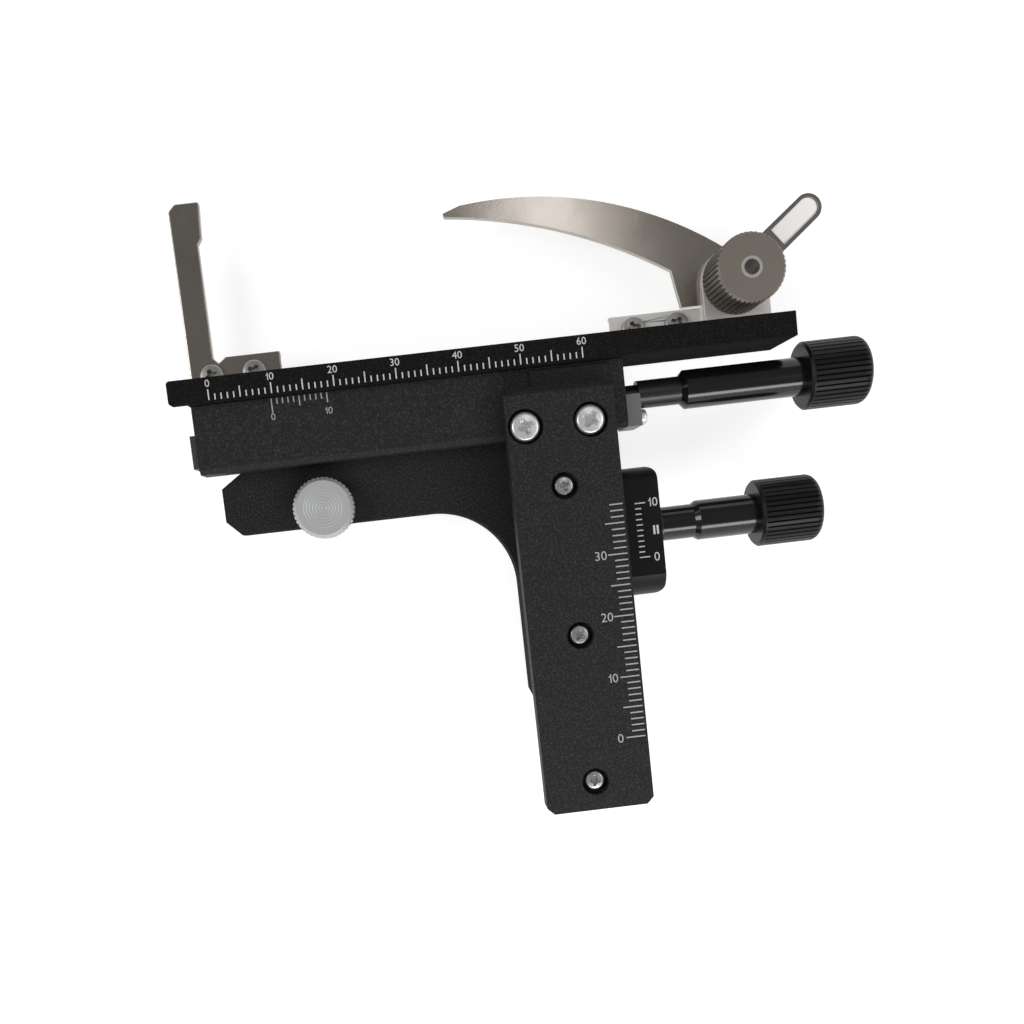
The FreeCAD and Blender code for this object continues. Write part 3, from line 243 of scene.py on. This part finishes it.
dress_nodes()
for label, width in (
    ("y_bar", 0.15),
    ("x_guide", 0.3),
    ("x_slide", 0.15),
    ("fixed_finger", 0.35),
    ("clip_lever", 0.3),
    ("clip_base", 0.15),
):
    soften(label, width)


# Pieces built from meshes
def add_piece(label, mesh, finish, body):
    mesh.materials.clear()
    mesh.materials.append(finish)
    piece = bpy.data.objects.new(label, mesh)
    bpy.context.scene.collection.objects.link(piece)
    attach(piece, body)
    return piece


def block(shape, low, high):
    """Add a box between two corners in millimetres."""
    size = Vector(high) - Vector(low)
    middle = (Vector(high) + Vector(low)) / 2
    place = Matrix.Translation(middle * MM) @ Matrix.Diagonal((*(size * MM), 1.0))
    bmesh.ops.create_cube(shape, size=1.0, matrix=place)


def curve_mesh(curve):
    """The mesh of a curve or a text."""
    holder = bpy.data.objects.new("holder", curve)
    mesh = bpy.data.meshes.new_from_object(holder)
    bpy.data.objects.remove(holder)
    return mesh


# Width of a mark, and how far it reaches into its face and stands over it, in millimetres
LINE = 0.2
SINK = 0.01
RISE = 0.012
# Outline of a 1 with a flag, as shares of a figure's height
ONE = (
    (0.0, 0.7),
    (0.11, 0.76),
    (0.19, 0.85),
    (0.22, 1.0),
    (0.31, 1.0),
    (0.31, 0.0),
    (0.19, 0.0),
    (0.19, 0.72),
    (0.0, 0.58),
)
ONE_WIDTH = 0.31
FIGURE_GAP = 0.14


def number(shape, text, place, height):
    """Add a number, centred at a place in millimetres, with figures this high."""
    words = bpy.data.curves.new("number", "FONT")
    words.body = text.lstrip("1")
    words.extrude = 0.01
    words.resolution_u = 3
    mesh = curve_mesh(words)
    across = [spot.co.x for spot in mesh.vertices]
    along = [spot.co.y for spot in mesh.vertices]
    tall = max(along) - min(along)
    corner = Vector((min(across), min(along), 0.0))
    wide = (max(across) - min(across)) / tall
    flagged = text.startswith("1")
    lead = ONE_WIDTH + FIGURE_GAP if flagged else 0.0
    start = Vector(place) - Vector((lead + wide, 1.0, 0.0)) * height / 2
    mesh.transform(
        Matrix.Translation((start + Vector((lead * height, 0.0, 0.0))) * MM)
        @ Matrix.Scale(height * MM / tall, 4)
        @ Matrix.Translation(-corner)
    )
    shape.from_mesh(mesh)
    bpy.data.meshes.remove(mesh)
    if flagged:
        outline = [start.to_2d() + Vector(spot) * height for spot in ONE]
        prism(shape, outline, start.z - SINK, start.z + RISE)


def prism(shape, spots, low, high):
    """Add an upright prism on an outline in millimetres."""
    ring = [shape.verts.new(Vector((x, y, low)) * MM) for x, y in spots]
    base = shape.faces.new(ring)
    grown = bmesh.ops.extrude_face_region(shape, geom=[base], use_keep_orig=True)
    risen = [item for item in grown["geom"] if isinstance(item, bmesh.types.BMVert)]
    bmesh.ops.translate(shape, verts=risen, vec=(0.0, 0.0, (high - low) * MM))


def finish_shape(shape, label, finish, body):
    mesh = bpy.data.meshes.new(label)
    shape.to_mesh(mesh)
    shape.free()
    return add_piece(label, mesh, finish, body)


def line_x(shape, x, near, far, z, width=LINE):
    """A mark across the slide: it runs along y."""
    block(shape, (x - width / 2, near, z - SINK), (x + width / 2, far, z + RISE))


def line_y(shape, y, left, right, z, width=LINE):
    """A mark across the bar: it runs along x."""
    block(shape, (left, y - width / 2, z - SINK), (right, y + width / 2, z + RISE))


# Where the scales start, the edge that they run along and the face that they lie on,
# in millimetres. A vernier has ten parts in nine millimetres.
SLIDE_ZERO, SLIDE_EDGE, SLIDE_TOP = -15.6, 18.78, 13.4
GUIDE_ZERO, GUIDE_EDGE, GUIDE_TOP = -6.1, 18.3, 11.0
BAR_ZERO, BAR_EDGE, BAR_TOP = -43.0, 48.1, 14.8
BLOCK_ZERO, BLOCK_EDGE, BLOCK_TOP = -14.2, 51.3, 9.0
VERNIER_STEP = 0.9


def mark_slide():
    """Millimetre scale along the cross slide, 0 to 60."""
    shape = bmesh.new()
    for step in range(61):
        reach = 1.7 if step % 5 == 0 else 0.95
        line_x(shape, SLIDE_ZERO + step, SLIDE_EDGE, SLIDE_EDGE + reach, SLIDE_TOP)
        if step % 10 == 0:
            number(shape, str(step), (SLIDE_ZERO + step, 21.42, SLIDE_TOP), 1.15)
    finish_shape(shape, "slide_scale", mark_paint, "x_carriage")


def mark_guide():
    """Vernier of the cross slide, on the guide."""
    shape = bmesh.new()
    for step in range(11):
        reach = {0: 2.3, 5: 1.6, 10: 1.6}.get(step, 0.95)
        line_x(shape, GUIDE_ZERO + step * VERNIER_STEP, GUIDE_EDGE - reach, GUIDE_EDGE, GUIDE_TOP)
    number(shape, "0", (GUIDE_ZERO, 15.4, GUIDE_TOP), 1.1)
    number(shape, "10", (2.95, 15.4, GUIDE_TOP), 1.1)
    finish_shape(shape, "slide_vernier", faint_paint, "y_carriage")


def mark_bar():
    """Millimetre scale along the bar's right edge, 0 to 38."""
    shape = bmesh.new()
    for step in range(39):
        reach = 3.15 if step % 5 == 0 else 2.1
        line_y(shape, BAR_ZERO + step, BAR_EDGE - reach, BAR_EDGE, BAR_TOP)
        if step % 10 == 0:
            across = 43.8 if step else 44.0
            number(shape, str(step), (across, BAR_ZERO + step, BAR_TOP), 1.45)
    finish_shape(shape, "bar_scale", bar_paint, "y_carriage")


def mark_block():
    """Vernier of the bar, on the block beside it."""
    shape = bmesh.new()
    for step in range(11):
        reach = 1.75 if step % 10 == 0 else 1.0
        line_y(shape, BLOCK_ZERO + step * VERNIER_STEP, BLOCK_EDGE, BLOCK_EDGE + reach, BLOCK_TOP)
    number(shape, "0", (54.2, -14.3, BLOCK_TOP), 1.45)
    number(shape, "10", (54.35, -5.2, BLOCK_TOP), 1.45)
    for x in (54.15, 54.75):
        block(shape, (x - 0.17, -10.6, BLOCK_TOP - SINK), (x + 0.17, -9.1, BLOCK_TOP + RISE))
    finish_shape(shape, "bar_vernier", mark_paint, "bracket")


for mark in (mark_slide, mark_guide, mark_bar, mark_block):
    mark()


# The recess in the thumb tab, from the lever's pivot, in millimetres and degrees
PIVOT = (73.2, 30.2)
TAB_TURN = 38.3
TAB_NEAR, TAB_FAR, TAB_HALF = 10.87, 17.9, 1.68
TAB_DEPTH, TAB_FILM = 0.35, 0.02


def tab_floor():
    """A pale sheet on the floor of the recess in the lever's thumb tab: a painted highlight for
    the bright reflection there.
    """
    shape = bmesh.new()
    bends = [math.radians(turn) for turn in range(0, 181, 15)]
    ends = [(TAB_FAR + TAB_HALF * math.sin(bend), -TAB_HALF * math.cos(bend)) for bend in bends]
    ends += [(TAB_NEAR, TAB_HALF), (TAB_NEAR, -TAB_HALF)]
    turn = Matrix.Rotation(math.radians(TAB_TURN), 2)
    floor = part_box("clip_lever")[1].z / MM - TAB_DEPTH
    outline = [Vector(PIVOT) + turn @ Vector(spot) for spot in ends]
    prism(shape, outline, floor - TAB_FILM, floor + TAB_FILM)
    finish_shape(shape, "tab_floor", tab_highlight_paint, "lever")


tab_floor()


# Screws with a cross recess
def turned_shape(profile, segments=56):
    """A closed solid of revolution from (radius, height) points that start and end on the axis."""
    shape = bmesh.new()
    rings = []
    for radius, height in profile:
        if radius == 0.0:
            rings.append([shape.verts.new((0.0, 0.0, height))] * segments)
            continue
        turns = [2 * math.pi * step / segments for step in range(segments)]
        spots = [(radius * math.cos(turn), radius * math.sin(turn), height) for turn in turns]
        rings.append([shape.verts.new(spot) for spot in spots])
    for low, high in zip(rings, rings[1:]):
        for step in range(segments):
            near, far = low[step], low[step - 1]
            corners = [far, near, high[step], high[step - 1]]
            shape.faces.new(list(dict.fromkeys(corners)))
    bmesh.ops.recalc_face_normals(shape, faces=shape.faces)
    return shape


def cross_cutter(radius, floor, top):
    """A cross that narrows towards its floor."""
    arm, half = radius * 0.64, radius * 0.16
    inner = half * 1.7
    shape = bmesh.new()
    rings = []
    for height, width in ((floor, 0.6), (top, 1.05)):
        ring = []
        for quarter in range(4):
            turn = Matrix.Rotation(quarter * math.pi / 2, 2)
            for x, y in ((inner, -inner * 0.9), (arm, -half), (arm, half)):
                spot = turn @ Vector((x, y)) * width
                ring.append(shape.verts.new((spot.x, spot.y, height)))
        rings.append(ring)
    shape.faces.new(rings[0])
    shape.faces.new(rings[1])
    count = len(rings[0])
    for step in range(count):
        shape.faces.new((rings[0][step - 1], rings[0][step], rings[1][step], rings[1][step - 1]))
    bmesh.ops.recalc_face_normals(shape, faces=shape.faces)
    return shape


def holder_of(shape):
    mesh = bpy.data.meshes.new("holder")
    shape.to_mesh(mesh)
    shape.free()
    item = bpy.data.objects.new("holder", mesh)
    bpy.context.scene.collection.objects.link(item)
    return item


def screw_mesh(head_radius, head_height, shank_radius, shank_length):
    """A pan head screw in millimetres that seats at the origin and points down."""
    rim = head_height * 0.35
    curve = [math.radians(turn) for turn in (0, 22, 45, 67, 85)]
    rounded = [
        (head_radius - rim * (1 - math.cos(turn)), head_height * 0.9 - rim + rim * math.sin(turn))
        for turn in curve
    ]
    shank = [(0.0, -shank_length), (shank_radius, -shank_length), (shank_radius, 0.0)]
    crown = [
        (head_radius - rim * 1.15, head_height * 0.91),
        (head_radius * 0.4, head_height * 0.97),
    ]
    profile = shank + [(head_radius, 0.0)] + rounded + crown + [(0.0, head_height)]
    body = holder_of(turned_shape(profile))
    cutter = holder_of(cross_cutter(head_radius, head_height * 0.15, head_height * 1.3))
    cut = body.modifiers.new("recess", "BOOLEAN")
    cut.operation = "DIFFERENCE"
    cut.solver = "EXACT"
    cut.object = cutter
    bpy.context.view_layer.update()
    graph = bpy.context.evaluated_depsgraph_get()
    mesh = bpy.data.meshes.new_from_object(body.evaluated_get(graph))
    bpy.data.objects.remove(body)
    bpy.data.objects.remove(cutter)
    shape = bmesh.new()
    shape.from_mesh(mesh)
    bpy.data.meshes.remove(mesh)
    return shape


SPINS = (20, 55, 80)


def screws(label, body, slot_name, spots, sizes, turn=Matrix.Identity(4), finish=None):
    """Screws that stand for a node of the CAD, each turned to its own angle."""
    whole = bmesh.new()
    for place, spot in enumerate(spots):
        one = screw_mesh(*sizes)
        spin = Matrix.Rotation(math.radians(SPINS[place % len(SPINS)]), 4, "Z")
        one.transform(Matrix.Translation(Vector(spot) * MM) @ turn @ spin @ Matrix.Scale(MM, 4))
        part = bpy.data.meshes.new("part")
        one.to_mesh(part)
        one.free()
        whole.from_mesh(part)
        bpy.data.meshes.remove(part)
    finish = finish or finishes[slot_name]
    piece = finish_shape(whole, f"{label}_dressed", finish, body)
    piece.data.set_sharp_from_angle(angle=math.radians(35))
    for face in piece.data.polygons:
        face.use_smooth = True
    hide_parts(label)


# Seats in millimetres, then head radius, head height, shank radius and shank length
FACE_RIGHT = Matrix.Rotation(math.radians(90), 4, "Y")
screws(
    "bar_screws",
    "y_carriage",
    "bright_zinc",
    ((33.95, 8.9, 12.7), (44.45, 8.9, 12.7)),
    (2.4, 1.7, 1.0, 5.0),
)
screws(
    "rail_screws",
    "y_carriage",
    "bright_zinc",
    [(39.2, -1.1 - 24.3 * step, 12.9) for step in range(3)],
    (1.6, 1.1, 0.8, 3.3),
    finish=small_screw,
)
PAN = (2.0, 1.2, 0.8, 1.5)
for label, left, right in (("fixed_finger_screws", -16.5, -9.3), ("clip_base_screws", 55.5, 62.9)):
    seats = ((left, 24.35, 1.8), (right, 24.35, 1.8))
    screws(label, "x_carriage", "bright_zinc", seats, PAN, finish=dull_screw)
screws(
    "keeper_screw",
    "y_carriage",
    "bright_zinc",
    ((53.7, 9.0, 6.9),),
    (1.3, 1.6, 0.8, 4.5),
    FACE_RIGHT,
)


# Floor, lights and camera
def pale_floor():
    material, tree, shader = new_material("pale floor")
    shader.inputs["Base Color"].default_value = (0.5, 0.5, 0.5, 1.0)
    shader.inputs["Roughness"].default_value = 0.9
    shader.inputs["Specular IOR Level"].default_value = 0.0
    shader.inputs["Emission Color"].default_value = (1.0, 1.0, 1.0, 1.0)
    place = tree.nodes.new("ShaderNodeTexCoord")
    reach = tree.nodes.new("ShaderNodeVectorMath")
    reach.operation = "LENGTH"
    tree.links.new(place.outputs["Object"], reach.inputs[0])
    whiter = tree.nodes.new("ShaderNodeMapRange")
    for name, level in (("From Min", 0.15), ("From Max", 0.9), ("To Min", 0.76), ("To Max", 1.0)):
        whiter.inputs[name].default_value = level
    tree.links.new(reach.outputs["Value"], whiter.inputs["Value"])
    glow = seen_strength(tree, whiter.outputs["Result"])
    tree.links.new(glow, shader.inputs["Emission Strength"])
    return material


def seen_strength(tree, strength):
    """A strength that the camera, gloss and glass see, and that doesn't light the object."""
    path = tree.nodes.new("ShaderNodeLightPath")
    seen = path.outputs["Is Camera Ray"]
    for kind in ("Is Glossy Ray", "Is Transmission Ray"):
        either = tree.nodes.new("ShaderNodeMath")
        either.operation = "MAXIMUM"
        tree.links.new(seen, either.inputs[0])
        tree.links.new(path.outputs[kind], either.inputs[1])
        seen = either.outputs["Value"]
    glow = tree.nodes.new("ShaderNodeMath")
    glow.operation = "MULTIPLY"
    tree.links.new(seen, glow.inputs[0])
    tree.links.new(strength, glow.inputs[1])
    return glow.outputs["Value"]


# The floor in metres: radius, height of its wall, and its gap under the object
FLOOR_RADIUS, WALL_HEIGHT, FLOOR_GAP = 3.0, 1.6, 0.0002


def studio_floor():
    """A round floor with a low wall far round it, so that every view ends in white."""
    low = cad_box[0].z - FLOOR_GAP
    turns = [math.radians(turn) for turn in range(0, 360, 5)]
    rim = [(FLOOR_RADIUS * math.cos(turn), FLOOR_RADIUS * math.sin(turn)) for turn in turns]
    count = len(rim)
    spots = [(x, y, low) for x, y in rim] + [(x, y, low + WALL_HEIGHT) for x, y in rim]
    walls = [(k, (k + 1) % count, count + (k + 1) % count, count + k) for k in range(count)]
    mesh = bpy.data.meshes.new("floor")
    mesh.from_pydata(spots, [], [tuple(range(count))] + walls)
    floor = bpy.data.objects.new("floor", mesh)
    bpy.context.scene.collection.objects.link(floor)
    mesh.materials.append(pale_floor())


def studio_world(level):
    world = bpy.data.worlds.new("studio")
    bpy.context.scene.world = world
    world.use_nodes = True
    back = world.node_tree.nodes["Background"]
    back.inputs["Color"].default_value = (1.0, 1.0, 1.0, 1.0)
    back.inputs["Strength"].default_value = level


def area_light(label, place, aim, size, power):
    """A soft oval lamp: place, aim and size in millimetres, power in watts."""
    lamp = bpy.data.lights.new(label, "AREA")
    lamp.shape = "ELLIPSE"
    lamp.size, lamp.size_y = (side * MM for side in size)
    lamp.energy = power
    item = bpy.data.objects.new(label, lamp)
    item.location = Vector(place) * MM
    item.rotation_mode = "QUATERNION"
    item.rotation_quaternion = (Vector(aim) - Vector(place)).to_track_quat("-Z", "Y")
    bpy.context.scene.collection.objects.link(item)


# Focal length in pixels of a picture this wide, and the sensor in millimetres
FOCAL_PIXELS, PICTURE_PIXELS, SENSOR = 1034.9, 1024, 36.0


def photo_camera():
    """A camera fitted to points of the photograph at assumed heights, with a limited shift."""
    data = bpy.data.cameras.new("camera")
    data.sensor_width = SENSOR
    data.lens = FOCAL_PIXELS / PICTURE_PIXELS * SENSOR
    data.shift_x = 0.07
    data.shift_y = 0.12
    data.clip_start = 0.01
    camera = bpy.data.objects.new("camera", data)
    camera.location = (13.93 * MM, -7.84 * MM, 181.44 * MM)
    turn = Vector((-0.08751, -0.02107, -0.11648))
    camera.rotation_mode = "QUATERNION"
    camera.rotation_quaternion = Matrix.Rotation(turn.length, 3, turn.normalized()).to_quaternion()
    bpy.context.scene.collection.objects.link(camera)
    bpy.context.scene.camera = camera


studio_floor()
studio_world(0.22)
area_light("key", (80, -270, 240), (45, 0, 5), (520, 110), 1.05)
area_light("left fill", (-290, 60, 320), (15, 0, 0), (200, 200), 0.6)
area_light("right fill", (330, 0, 300), (30, 0, 0), (240, 240), 0.35)
area_light("softbox", (91, 130, 300), (91, 130, 0), (42, 110), 0.034)
photo_camera()
bpy.context.scene.view_settings.view_transform = "Standard"
